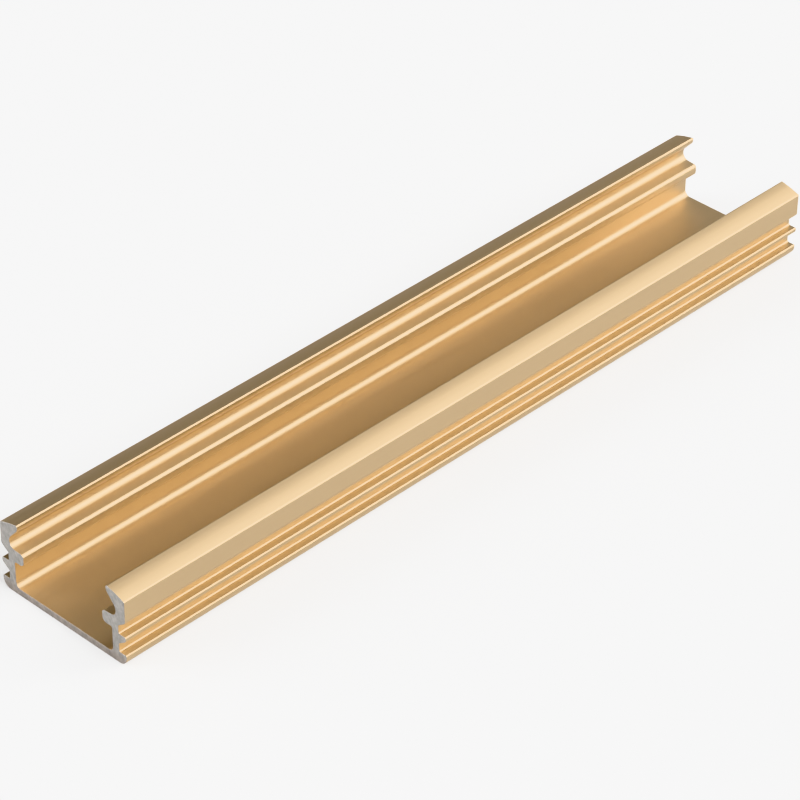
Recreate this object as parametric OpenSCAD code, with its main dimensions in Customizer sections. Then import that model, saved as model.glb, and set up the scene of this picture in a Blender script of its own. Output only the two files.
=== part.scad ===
// Length of aluminium channel stock for a flat light strip. The extruded section has a thin floor,
// two walls with inner ridges and bevelled lips that hold a snap-in cover, and barbed clip grooves
// on the outside. The stock lies on its floor: X across, Y along the length, Z up.

/* [Stock] */
// Length between the two sawn ends
profile_length = 90; // [20:1:3000]

/* [Floor and walls] */
// Width of the channel between the walls, where the strip lies
channel_width = 12.6; // [6:0.1:40]
// Thickness of the floor
floor_thickness = 0.7; // [0.4:0.05:1]
// Thickness of a wall, from the channel to the outer face
wall_thickness = 1.7; // [1.5:0.05:3]
// Radius where the walls meet the floor
floor_fillet = 0.6; // [0.1:0.05:0.8]

/* [Ridges] */
// Clear height from the floor to the underside of the ridges
strip_clearance = 2.8; // [2:0.05:6]
// Reach of a ridge from the wall into the channel
ridge_reach = 1.2; // [0.7:0.05:2]
// Thickness of a ridge at its root
ridge_thickness = 1.4; // [1:0.05:2]
// Fall of a ridge's top face from its root to its tip
ridge_fall = 0.15; // [0.05:0.05:0.4]
// Radius on the upper edge of a ridge's tip
ridge_top_radius = 0.35; // [0.1:0.05:0.6]
// Radius on the lower edge of a ridge's tip
ridge_bottom_radius = 0.5; // [0.1:0.05:0.8]
// Radius where a ridge's underside meets the wall
ridge_root_radius = 0.2; // [0.05:0.05:0.4]

/* [Lips] */
// Depth of the pocket above a ridge, cut into the wall for the hook of the cover
pocket_depth = 0.55; // [0.3:0.05:0.8]
// Height of a pocket's upright back
pocket_height = 1; // [0.6:0.05:2]
// Radius in the bottom of a pocket
pocket_radius = 0.65; // [0.1:0.05:0.7]
// Radius where a pocket's upright back runs into the slanted back of the lip
pocket_blend_radius = 0.8; // [0.2:0.1:1.5]
// Height of the slanted back of a lip
lip_back_height = 1.3; // [0.8:0.05:3]
// Reach of a lip's nose from the wall into the channel
lip_reach = 0.6; // [0.2:0.05:1.2]
// Height of a lip's upright nose
nose_height = 0.5; // [0.3:0.05:1]
// Radius on the lower edge of a lip's nose
nose_radius = 0.6; // [0.1:0.05:1]
// Radius on the tip of a lip
tip_radius = 0.15; // [0.05:0.01:0.25]
// Fall of the bevelled top from a lip's tip to the shoulder
bevel_fall = 0.65; // [0.3:0.05:1.2]
// Rise of the slightly crowned bevel above a straight line from tip to shoulder
bevel_crown = 0.05; // [0.01:0.01:0.1]
// Radius on the shoulder, where the bevel meets the outer face
shoulder_radius = 0.15; // [0.05:0.05:0.4]

/* [Clip grooves] */
// Number of grooves in each outer face
groove_count = 2; // [1:1:2]
// Height of the lowest groove's flat ledge above the base
ledge_height = 1.2; // [1:0.05:1.5]
// Distance from one ledge to the next
groove_pitch = 2; // [1.6:0.05:2.4]
// Depth of a groove
groove_depth = 0.9; // [0.5:0.05:1.1]
// Height of a groove at its mouth
groove_mouth = 1.55; // [1.2:0.05:1.9]
// Height of a groove's upright back
groove_back = 0.9; // [0.6:0.05:1.2]
// Radius on the edge of a ledge
ledge_radius = 0.12; // [0.05:0.01:0.2]
// Radius in the two inner corners of a groove
groove_radius = 0.15; // [0.05:0.05:0.3]
// Radius on the edge above a groove's slanted roof
barb_radius = 0.4; // [0.1:0.05:0.6]
// Radius of the rounded lower corner of the section
foot_radius = 0.9; // [0.3:0.05:1]

/* [Hidden] */

// Number of flats in each rounded corner
arc_steps = 8;

// Widths across the section
profile_width = channel_width + 2 * wall_thickness;
pocket_width = channel_width + 2 * pocket_depth;
mouth_width = channel_width - 2 * lip_reach;
ridge_gap = channel_width - 2 * ridge_reach;

// Heights above the base
ridge_under = floor_thickness + strip_clearance;
ridge_root = ridge_under + ridge_thickness;
pocket_top = ridge_root + pocket_height;
nose_foot = pocket_top + lip_back_height;
profile_height = nose_foot + nose_height;

// The bevel's straight line from tip to shoulder, and the turn from it to the crowned face at either end
bevel_run = wall_thickness + lip_reach;
bevel_length = norm([bevel_run, bevel_fall]);
bevel_angle = atan(bevel_fall / bevel_run);
crown_angle = atan(4 * bevel_crown / bevel_length);

// The crown takes up the whole bevel between the rounded tip and the rounded shoulder
crown_radius = (bevel_length / 2 - 1.5 * max(tip_radius, shoulder_radius)) / tan(crown_angle);

// The bevel and the nose would meet this high, and rounding the tip brings it down to the height
tip_slope = tan(bevel_angle - crown_angle);
sharp_tip = profile_height + tip_radius * (tip_slope + norm([1, tip_slope]) - 1);

// Corners of one clip groove, from the edge of its ledge to the edge above its slanted roof
function groove_corners(ledge) =
    let (outside = profile_width / 2, inside = outside - groove_depth)
    [
        [outside, ledge, ledge_radius],
        [inside, ledge, groove_radius],
        [inside, ledge + groove_back, groove_radius],
        [outside, ledge + groove_mouth, barb_radius],
    ];

// Corner in the middle of the bevel, which its large radius rounds into the crown
function crown_corner() =
    let (
        middle = [(profile_width - bevel_run) / 2, sharp_tip - bevel_fall / 2],
        top = middle + 2 * bevel_crown * [sin(bevel_angle), cos(bevel_angle)]
    )
    [top.x, top.y, crown_radius];

// Corners of the outer face, from the foot up to the shoulder and the bevel
function outer_corners() = [
    [profile_width / 2, 0, foot_radius],
    for (i = [0 : groove_count - 1]) each groove_corners(ledge_height + i * groove_pitch),
    [profile_width / 2, sharp_tip - bevel_fall, shoulder_radius],
    crown_corner(),
];

// Corners of the inner face, from the tip of the lip down to the floor
function inner_corners() = [
    [mouth_width / 2, sharp_tip, tip_radius],
    [mouth_width / 2, nose_foot, nose_radius],
    [pocket_width / 2, pocket_top, pocket_blend_radius],
    [pocket_width / 2, ridge_root, pocket_radius],
    [ridge_gap / 2, ridge_root - ridge_fall, ridge_top_radius],
    [ridge_gap / 2, ridge_under, ridge_bottom_radius],
    [channel_width / 2, ridge_under, ridge_root_radius],
    [channel_width / 2, floor_thickness, floor_fillet],
];

// The corners of one wall and their mirror image, as one closed loop of [x, z, radius]
function section_corners() =
    let (wall = concat(outer_corners(), inner_corners()))
    [each wall, for (i = [len(wall) - 1 : -1 : 0]) [-wall[i].x, wall[i].y, rounding(wall[i])]];

function place(corner) = [corner.x, corner.y];
function rounding(corner) = corner[2];
function unit(v) = v / norm(v);
function turned(v, angle) = [v.x * cos(angle) - v.y * sin(angle), v.x * sin(angle) + v.y * cos(angle)];
function next(loop, i) = (i + 1) % len(loop);
function previous(loop, i) = (i + len(loop) - 1) % len(loop);
function edge(loop, i, j) = place(loop[j]) - place(loop[i]);

// Half of the angle between the two edges that meet in a corner
function half_angle(loop, i) =
    acos(unit(edge(loop, i, previous(loop, i))) * unit(edge(loop, i, next(loop, i)))) / 2;

// Distance from a corner to the place where its arc leaves the edge
function arc_reach(loop, i) = rounding(loop[i]) / tan(half_angle(loop, i));

// Share of the wanted radius that fits on the edge between two corners
function edge_share(loop, i, j) = norm(edge(loop, i, j)) / (arc_reach(loop, i) + arc_reach(loop, j));

// Points of the arc that rounds one corner
function corner_arc(loop, i) =
    let (
        share = min(1, edge_share(loop, i, previous(loop, i)), edge_share(loop, i, next(loop, i))),
        half = half_angle(loop, i),
        arrive = unit(edge(loop, i, previous(loop, i))),
        leave = unit(edge(loop, i, next(loop, i))),
        radius = rounding(loop[i]) * share,
        centre = place(loop[i]) + unit(arrive + leave) * radius / sin(half),
        start = place(loop[i]) + arrive * arc_reach(loop, i) * share - centre,
        sweep = -sign(cross(arrive, leave)) * (180 - 2 * half)
    )
    [for (k = [0 : arc_steps]) centre + turned(start, sweep * k / arc_steps)];

module section() {
    loop = section_corners();
    polygon([for (i = [0 : len(loop) - 1]) each corner_arc(loop, i)]);
}

module profile() {
    color("#c99a5b")
        translate([0, profile_length / 2, 0])
            rotate([90, 0, 0])
                linear_extrude(height = profile_length)
                    section();
}

profile();
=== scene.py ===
"""Looks of a length of gold-anodised aluminium channel: satin skin, bare sawn ends, pale studio."""
import math

import bpy
import numpy as np
from mathutils import Matrix, Vector


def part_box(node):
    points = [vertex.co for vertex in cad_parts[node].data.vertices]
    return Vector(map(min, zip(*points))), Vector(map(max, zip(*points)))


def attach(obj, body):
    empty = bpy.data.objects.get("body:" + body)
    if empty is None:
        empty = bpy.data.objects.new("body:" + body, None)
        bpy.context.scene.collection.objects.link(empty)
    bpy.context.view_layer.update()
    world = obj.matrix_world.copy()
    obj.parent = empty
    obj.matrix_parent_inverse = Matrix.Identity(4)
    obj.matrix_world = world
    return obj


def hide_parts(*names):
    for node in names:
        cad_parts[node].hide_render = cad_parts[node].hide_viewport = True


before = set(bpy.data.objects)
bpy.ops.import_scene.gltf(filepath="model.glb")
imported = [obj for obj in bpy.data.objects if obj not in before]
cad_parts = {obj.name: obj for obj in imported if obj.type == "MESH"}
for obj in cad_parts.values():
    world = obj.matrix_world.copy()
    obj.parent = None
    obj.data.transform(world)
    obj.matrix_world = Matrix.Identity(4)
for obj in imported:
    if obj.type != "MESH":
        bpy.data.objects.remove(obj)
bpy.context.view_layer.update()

MM = 0.001

# The stock lies along Y, with its near end at the lowest Y
NEAR = Vector((0, -1, 0))
FAR = Vector((0, 1, 0))

# Camera, at the photograph's viewing angle
VIEW_AZIMUTH = math.radians(43.85)
VIEW_ELEVATION = math.radians(35.79)
VIEW_ROLL = math.radians(0.54)
VIEW_DISTANCE = 334.1 * MM
VIEW_AIM = Vector((-0.72, -2.59, 2.00)) * MM
LENS_MM = 161.06
SENSOR_MM = 36.0
CLIP_NEAR = 0.01
CLIP_FAR = 20.0

# This view transform turns the brightest highlights on the gold cream, as in the photograph
VIEW_TRANSFORM = "Khronos PBR Neutral"

# Reading the solid: points this near an end lie on it, and points alike to this many digits are one
END_REACH = 0.001 * MM
POINT_DIGITS = 7

# Noise goes mostly through the middle half of its range
NOISE_LOW = 0.25
NOISE_HIGH = 0.75
PLAIN_DETAIL = 2.0
FINE_DETAIL = 3.0

# Gold skin. Shades and roughnesses of lines, clouds and grain are how far they vary up and down.
SKIN_SLOT = 0
GOLD = (0.44, 0.33, 0.2, 1)
GOLD_ROUGHNESS = 0.5
DIE_LINE_WIDTH = 0.12 * MM
DIE_LINE_LENGTH = 30 * MM
DIE_LINE_SHADE = 0.015
DIE_LINE_ROUGHNESS = 0.03
DIE_LINE_DEPTH = 0.0003 * MM
CLOUD_WIDTH = 4 * MM
CLOUD_LENGTH = 16 * MM
CLOUD_SHADE = 0.012
GRAIN_WIDTH = 0.05 * MM
GRAIN_ROUGHNESS = 0.02
GRAIN_RELIEF = 0.3  # depth as a share of the lines' or marks' depth

# Sawn ends. The thin floor's cut is painted darker than the walls' cuts: painted shade, darker towards the
# bottom.
CUT_SLOT = 1
EDGE_BREAK = 0.015 * MM
BARE = (0.25, 0.238, 0.222, 1)
BARE_PAINTED_SHADE = (0.218, 0.19, 0.168, 1)
PAINTED_SHADE_BELOW = 0.45 * MM
UNSHADED_ABOVE = 1.35 * MM
BARE_METALLIC = 0.6
BARE_ROUGHNESS = 0.525
SAW_MARK_WIDTH = 0.2 * MM
SAW_MARK_LENGTH = 1.6 * MM
SAW_MARK_SLANT = math.radians(24)
SAW_MARK_SHADE = 0.2
SAW_MARK_ROUGHNESS = 0.075
SAW_MARK_DEPTH = 0.004 * MM
BLOTCH_WIDTH = 0.4 * MM
BLOTCH_SHADE = 0.2
CUT_GRAIN_SHADE = 0.06

# Bake map: the unrolled skin fills the upper part, and the two ends lie side by side in a strip below it
BAKE_MAP = "OFBake"
MAP_MARGIN = 0.006
MAP_STRIP = 0.13
MAP_HALF = 0.5

# Softboxes on a dome. In degrees: angle round the length, from straight up to +X, tilt to the far end,
# width and height as seen from the stock.
LIGHT_DISTANCE = 3.0
SOFTBOXES = {
    "overhead_softbox": dict(around=5, tilt=30, width=12, height=16, radiance=6.6),
    "back_softbox": dict(around=23, tilt=30, width=24, height=16, radiance=10.5),
    "right_softbox": dict(around=58, tilt=30, width=26, height=16, radiance=6.4),
    "high_right_softbox": dict(around=55, tilt=50, width=32, height=20, radiance=14.7),
    "high_back_softbox": dict(around=15, tilt=50, width=32, height=20, radiance=2.9),
    "side_softbox": dict(around=45, tilt=2, width=30, height=30, radiance=15.5),
    "low_side_softbox": dict(around=74, tilt=0, width=24, height=30, radiance=1.2),
    "top_softbox": dict(around=10, tilt=2, width=30, height=30, radiance=2.9),
    "left_softbox": dict(around=-50, tilt=38, width=18, height=20, radiance=1.3),
    "front_left_softbox": dict(around=-60, tilt=-45, width=45, height=45, radiance=10.1),
}

# Studio floor, just below the underside of the stock
FLOOR_WHITE = 0.32
FLOOR_GLOW = 0.5
FLOOR_ROUGHNESS = 0.9
FLOOR_REACH = 8.0
FLOOR_GAP = 0.02 * MM


def end_outline(mesh, end_y):
    """Points (x, z) round the near end, clockwise as seen from there, read off the solid's long faces."""
    following = {}
    for polygon in mesh.polygons:
        ring = [mesh.vertices[i].co for i in polygon.vertices]
        at_end = [abs(co.y - end_y) < END_REACH for co in ring]
        if sum(at_end) != 2:
            continue
        places = [(round(co.x, POINT_DIGITS), round(co.z, POINT_DIGITS)) for co in ring]
        for k, place in enumerate(places):
            after = (k + 1) % len(ring)
            if at_end[k] and at_end[after]:
                following[place] = places[after]
    start = min(following, key=lambda p: (p[1], abs(p[0])))
    outline = [start]
    while following[outline[-1]] != start:
        outline.append(following[outline[-1]])
    return np.array(outline)


def outline_normals(outline):
    """Outward normal at each point, weighted by the two edges' lengths so that flats stay flat."""
    edges = np.roll(outline, -1, axis=0) - outline
    across = np.stack([-edges[:, 1], edges[:, 0]], axis=1)
    normals = across + np.roll(across, 1, axis=0)
    return normals / np.linalg.norm(normals, axis=1, keepdims=True)


def skin_map(outline):
    """Map places of the skin's near and far edge: the length runs across the map and the girth up it."""
    steps = np.linalg.norm(np.roll(outline, -1, axis=0) - outline, axis=1)
    girth = np.concatenate([[0], np.cumsum(steps)])
    heights = MAP_STRIP + girth / girth[-1] * (1 - MAP_MARGIN - MAP_STRIP)
    return [(MAP_MARGIN, h) for h in heights], [(1 - MAP_MARGIN, h) for h in heights]


def end_map(ring, outline, left):
    """Map places of a ring of points on one sawn end, laid flat in the strip, with the first place again."""
    low, high = outline.min(axis=0), outline.max(axis=0)
    room = np.array([MAP_HALF, MAP_STRIP]) - 2 * MAP_MARGIN
    places = np.array([left + MAP_MARGIN, MAP_MARGIN]) + (ring - low) * min(room / (high - low))
    return np.concatenate([places, places[:1]])


class FaceList:
    """Faces of a mesh, each with a material slot, and with a normal and a map place at each corner."""

    def __init__(self):
        self.corners, self.slots, self.normals, self.places = [], [], [], []

    def add(self, corners, slot, normals, places):
        self.corners.append(corners)
        self.slots.append(slot)
        self.normals += normals
        self.places += places

    def add_band(self, ring, slot, normals, lower, upper):
        """Faces from one ring of points to the next. Lower and upper are the two rings' map places."""
        count = len(normals)
        low, high = ring * count, (ring + 1) * count
        for k in range(count):
            after = (k + 1) % count
            self.add([low + k, low + after, high + after, high + k], slot,
                     [normals[k], normals[after], normals[after], normals[k]],
                     [lower[k], lower[k + 1], upper[k + 1], upper[k]])


def stock_faces(outline, inner, normals):
    """Faces on four rings of points: inner at the near end, outline, outline, inner at the far end."""
    count = len(outline)
    skin = [Vector((n[0], 0, n[1])) for n in normals]
    near_cut, near_edge = end_map(inner, outline, 0), end_map(outline, outline, 0)
    far_cut, far_edge = end_map(inner, outline, MAP_HALF), end_map(outline, outline, MAP_HALF)
    faces = FaceList()
    faces.add_band(1, SKIN_SLOT, skin, *skin_map(outline))
    faces.add_band(0, CUT_SLOT, [(n + NEAR).normalized() for n in skin], near_cut, near_edge)
    faces.add_band(2, CUT_SLOT, [(n + FAR).normalized() for n in skin], far_edge, far_cut)
    faces.add(list(range(count))[::-1], CUT_SLOT, [NEAR] * count, list(near_cut[:count][::-1]))
    faces.add(list(range(3 * count, 4 * count)), CUT_SLOT, [FAR] * count, list(far_cut[:count]))
    return faces


def build_profile(name, outline, low_y, high_y):
    """The stock as one mesh: the skin in one material slot, the broken edges and sawn ends in the other."""
    normals = outline_normals(outline)
    inner = outline - normals * EDGE_BREAK
    near_ring, far_ring = (low_y + EDGE_BREAK, outline), (high_y - EDGE_BREAK, outline)
    rings = [(low_y, inner), near_ring, far_ring, (high_y, inner)]
    faces = stock_faces(outline, inner, normals)
    mesh = bpy.data.meshes.new(name)
    mesh.from_pydata([(x, y, z) for y, ring in rings for x, z in ring], [], faces.corners)
    mesh.polygons.foreach_set("material_index", faces.slots)
    mesh.polygons.foreach_set("use_smooth", [True] * len(faces.slots))
    layer = mesh.uv_layers.new(name=BAKE_MAP)
    layer.data.foreach_set("uv", np.array(faces.places, dtype=np.float32).ravel())
    mesh.normals_split_custom_set(faces.normals)
    piece = bpy.data.objects.new(name, mesh)
    bpy.context.scene.collection.objects.link(piece)
    return piece


class Nodes:
    """Short helpers that add and link a material's nodes."""

    def __init__(self, name):
        self.material = bpy.data.materials.new(name)
        self.material.use_nodes = True
        self.tree = self.material.node_tree
        self.tree.nodes.clear()
        out = self.add("ShaderNodeOutputMaterial")
        self.surface = self.add("ShaderNodeBsdfPrincipled")
        self.link(self.surface.outputs["BSDF"], out.inputs["Surface"])

    def add(self, kind, **settings):
        node = self.tree.nodes.new(kind)
        for key, value in settings.items():
            setattr(node, key, value)
        return node

    def link(self, source, target):
        self.tree.links.new(source, target)

    def set(self, **values):
        """Plain values of the surface's inputs, whose names have _ for each space."""
        for name, value in values.items():
            self.surface.inputs[name.replace("_", " ")].default_value = value

    def noise(self, size, turn=(0, 0, 0), detail=PLAIN_DETAIL):
        """Noise whose features have the given size along each axis, in metres, after a turn."""
        coordinates = self.add("ShaderNodeTexCoord")
        turned = self.add("ShaderNodeMapping")
        turned.inputs["Rotation"].default_value = turn
        scaled = self.add("ShaderNodeMapping")
        scaled.inputs["Scale"].default_value = [1 / s for s in size]
        noise = self.add("ShaderNodeTexNoise")
        noise.inputs["Scale"].default_value = 1.0
        noise.inputs["Detail"].default_value = detail
        self.link(coordinates.outputs["Object"], turned.inputs["Vector"])
        self.link(turned.outputs["Vector"], scaled.inputs["Vector"])
        self.link(scaled.outputs["Vector"], noise.inputs["Vector"])
        return noise.outputs["Fac"]

    def ramp(self, value, low, high, result_low=0.0, result_high=1.0):
        """The value's range from low to high, stretched over the results' range and held beyond it."""
        ramp = self.add("ShaderNodeMapRange")
        ramp.inputs["From Min"].default_value = low
        ramp.inputs["From Max"].default_value = high
        ramp.inputs["To Min"].default_value = result_low
        ramp.inputs["To Max"].default_value = result_high
        self.link(value, ramp.inputs["Value"])
        return ramp.outputs["Result"]

    def vary(self, noise, middle, reach):
        """A value that goes up and down from its middle with the noise."""
        return self.ramp(noise, NOISE_LOW, NOISE_HIGH, middle - reach, middle + reach)

    def math(self, operation, first, second):
        node = self.add("ShaderNodeMath", operation=operation)
        for socket, value in zip(node.inputs, (first, second)):
            if isinstance(value, (int, float)):
                socket.default_value = value
            else:
                self.link(value, socket)
        return node.outputs["Value"]

    def height(self):
        """Height above the underside, in metres."""
        split = self.add("ShaderNodeSeparateXYZ")
        self.link(self.add("ShaderNodeTexCoord").outputs["Object"], split.inputs["Vector"])
        return split.outputs["Z"]

    def blend(self, first, second, factor):
        """From one colour to another as the factor goes from 0 to 1."""
        node = self.add("ShaderNodeMix", data_type="RGBA")
        colours = [s for s in node.inputs if s.type == "RGBA"]
        colours[0].default_value = first
        colours[1].default_value = second
        self.link(factor, node.inputs["Factor"])
        return [s for s in node.outputs if s.type == "RGBA"][0]

    def tint(self, colour, factor):
        """Base colour: a colour, given as a value or as a socket, times a factor that varies."""
        node = self.add("ShaderNodeVectorMath", operation="SCALE")
        if isinstance(colour, tuple):
            node.inputs[0].default_value = colour[:3]
        else:
            self.link(colour, node.inputs[0])
        self.link(factor, node.inputs["Scale"])
        self.link(node.outputs["Vector"], self.surface.inputs["Base Color"])

    def relief(self, coarse, grain, depth):
        """Bumps of a coarse noise with a shallower grain on it."""
        node = self.add("ShaderNodeBump")
        node.inputs["Strength"].default_value = 1.0
        node.inputs["Distance"].default_value = depth
        height = self.math("ADD", coarse, self.math("MULTIPLY", grain, GRAIN_RELIEF))
        self.link(height, node.inputs["Height"])
        self.link(node.outputs["Normal"], self.surface.inputs["Normal"])


def gold_anodised():
    """Satin gold oxide skin: fine die lines along the extrusion, slow clouds in the dye, etched grain."""
    nodes = Nodes("gold_anodised")
    nodes.set(Metallic=1.0)
    lines = nodes.noise((DIE_LINE_WIDTH, DIE_LINE_LENGTH, DIE_LINE_WIDTH), detail=FINE_DETAIL)
    clouds = nodes.noise((CLOUD_WIDTH, CLOUD_LENGTH, CLOUD_WIDTH))
    grain = nodes.noise((GRAIN_WIDTH,) * 3)
    shade = nodes.math("ADD", nodes.vary(lines, 1, DIE_LINE_SHADE), nodes.vary(clouds, 0, CLOUD_SHADE))
    nodes.tint(GOLD, shade)
    line_roughness = nodes.vary(lines, GOLD_ROUGHNESS, DIE_LINE_ROUGHNESS)
    roughness = nodes.math("ADD", line_roughness, nodes.vary(grain, 0, GRAIN_ROUGHNESS))
    nodes.link(roughness, nodes.surface.inputs["Roughness"])
    nodes.relief(lines, grain, DIE_LINE_DEPTH)
    return nodes.material


def sawn_aluminium():
    """Bare grey metal of the saw cut: short slanted saw marks, uneven blotches and a fine dull grain."""
    nodes = Nodes("sawn_aluminium")
    nodes.set(Metallic=BARE_METALLIC)
    mark_size = (SAW_MARK_WIDTH, SAW_MARK_WIDTH, SAW_MARK_LENGTH)
    marks = nodes.noise(mark_size, turn=(0, SAW_MARK_SLANT, 0), detail=FINE_DETAIL)
    blotches = nodes.noise((BLOTCH_WIDTH,) * 3)
    grain = nodes.noise((GRAIN_WIDTH,) * 3)
    shade = nodes.math("ADD", nodes.vary(marks, 1, SAW_MARK_SHADE), nodes.vary(grain, 0, CUT_GRAIN_SHADE))
    # Painted shade: the cut's colour goes from the darker one low on the floor to the plain one higher up
    metal_with_painted_shade = nodes.blend(BARE_PAINTED_SHADE, BARE, nodes.ramp(nodes.height(), PAINTED_SHADE_BELOW, UNSHADED_ABOVE))
    nodes.tint(metal_with_painted_shade, nodes.math("ADD", shade, nodes.vary(blotches, 0, BLOTCH_SHADE)))
    roughness = nodes.vary(marks, BARE_ROUGHNESS, SAW_MARK_ROUGHNESS)
    nodes.link(roughness, nodes.surface.inputs["Roughness"])
    nodes.relief(marks, grain, SAW_MARK_DEPTH)
    return nodes.material


def pale_floor():
    """Plain matt floor that glows a little, so that shadows on it stay faint."""
    nodes = Nodes("pale_floor")
    nodes.set(Base_Color=(FLOOR_WHITE, FLOOR_WHITE, FLOOR_WHITE, 1), Roughness=FLOOR_ROUGHNESS,
              Specular_IOR_Level=0.0, Emission_Color=(1, 1, 1, 1), Emission_Strength=FLOOR_GLOW)
    return nodes.material


def build_floor(height):
    mesh = bpy.data.meshes.new("studio_floor")
    corners = [(-1, -1), (1, -1), (1, 1), (-1, 1)]
    points = [(x * FLOOR_REACH, y * FLOOR_REACH, height) for x, y in corners]
    mesh.from_pydata(points, [], [(0, 1, 2, 3)])
    mesh.materials.append(pale_floor())
    floor = bpy.data.objects.new("studio_floor", mesh)
    bpy.context.scene.collection.objects.link(floor)


def softbox(name, around, tilt, width, height, radiance):
    """Rectangular light on a dome round the stock, facing it. The angles are in degrees."""
    around, tilt = math.radians(around), math.radians(tilt)
    level = math.cos(tilt)
    toward = Vector((math.sin(around) * level, math.sin(tilt), math.cos(around) * level))
    across = Vector((math.cos(around), 0, -math.sin(around)))
    light = bpy.data.lights.new(name, "AREA")
    light.shape = "RECTANGLE"
    light.size = 2 * LIGHT_DISTANCE * math.tan(math.radians(width) / 2)
    light.size_y = 2 * LIGHT_DISTANCE * math.tan(math.radians(height) / 2)
    light.energy = radiance * math.pi * light.size * light.size_y
    lamp = bpy.data.objects.new(name, light)
    turn = Matrix((across, toward.cross(across), toward)).transposed().to_4x4()
    lamp.matrix_world = Matrix.Translation(toward * LIGHT_DISTANCE) @ turn
    bpy.context.scene.collection.objects.link(lamp)


def build_world():
    """Black surroundings, so that all light comes from the softboxes and the floor."""
    world = bpy.data.worlds.new("studio")
    world.use_nodes = True
    world.node_tree.nodes["Background"].inputs["Strength"].default_value = 0.0
    bpy.context.scene.world = world


def build_camera():
    data = bpy.data.cameras.new("camera")
    data.lens = LENS_MM
    data.sensor_width = SENSOR_MM
    data.clip_start = CLIP_NEAR
    data.clip_end = CLIP_FAR
    camera = bpy.data.objects.new("camera", data)
    across = Vector((math.cos(VIEW_AZIMUTH), math.sin(VIEW_AZIMUTH), 0))
    toward = Vector((math.sin(VIEW_AZIMUTH), -math.cos(VIEW_AZIMUTH), 0))
    back = toward * math.cos(VIEW_ELEVATION) + Vector((0, 0, math.sin(VIEW_ELEVATION)))
    right = across * math.cos(VIEW_ROLL) + back.cross(across) * math.sin(VIEW_ROLL)
    turn = Matrix((right, back.cross(right), back)).transposed().to_4x4()
    camera.matrix_world = Matrix.Translation(VIEW_AIM + back * VIEW_DISTANCE) @ turn
    bpy.context.scene.collection.objects.link(camera)
    bpy.context.scene.camera = camera


low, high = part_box("profile")
near_outline = end_outline(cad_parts["profile"].data, low.y)
profile = build_profile("channel_stock", near_outline, low.y, high.y)
profile.data.materials.append(gold_anodised())
profile.data.materials.append(sawn_aluminium())
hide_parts("profile")
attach(profile, "root")

build_floor(low.z - FLOOR_GAP)
for name, setting in SOFTBOXES.items():
    softbox(name, **setting)
build_world()
build_camera()
bpy.context.scene.view_settings.view_transform = VIEW_TRANSFORM
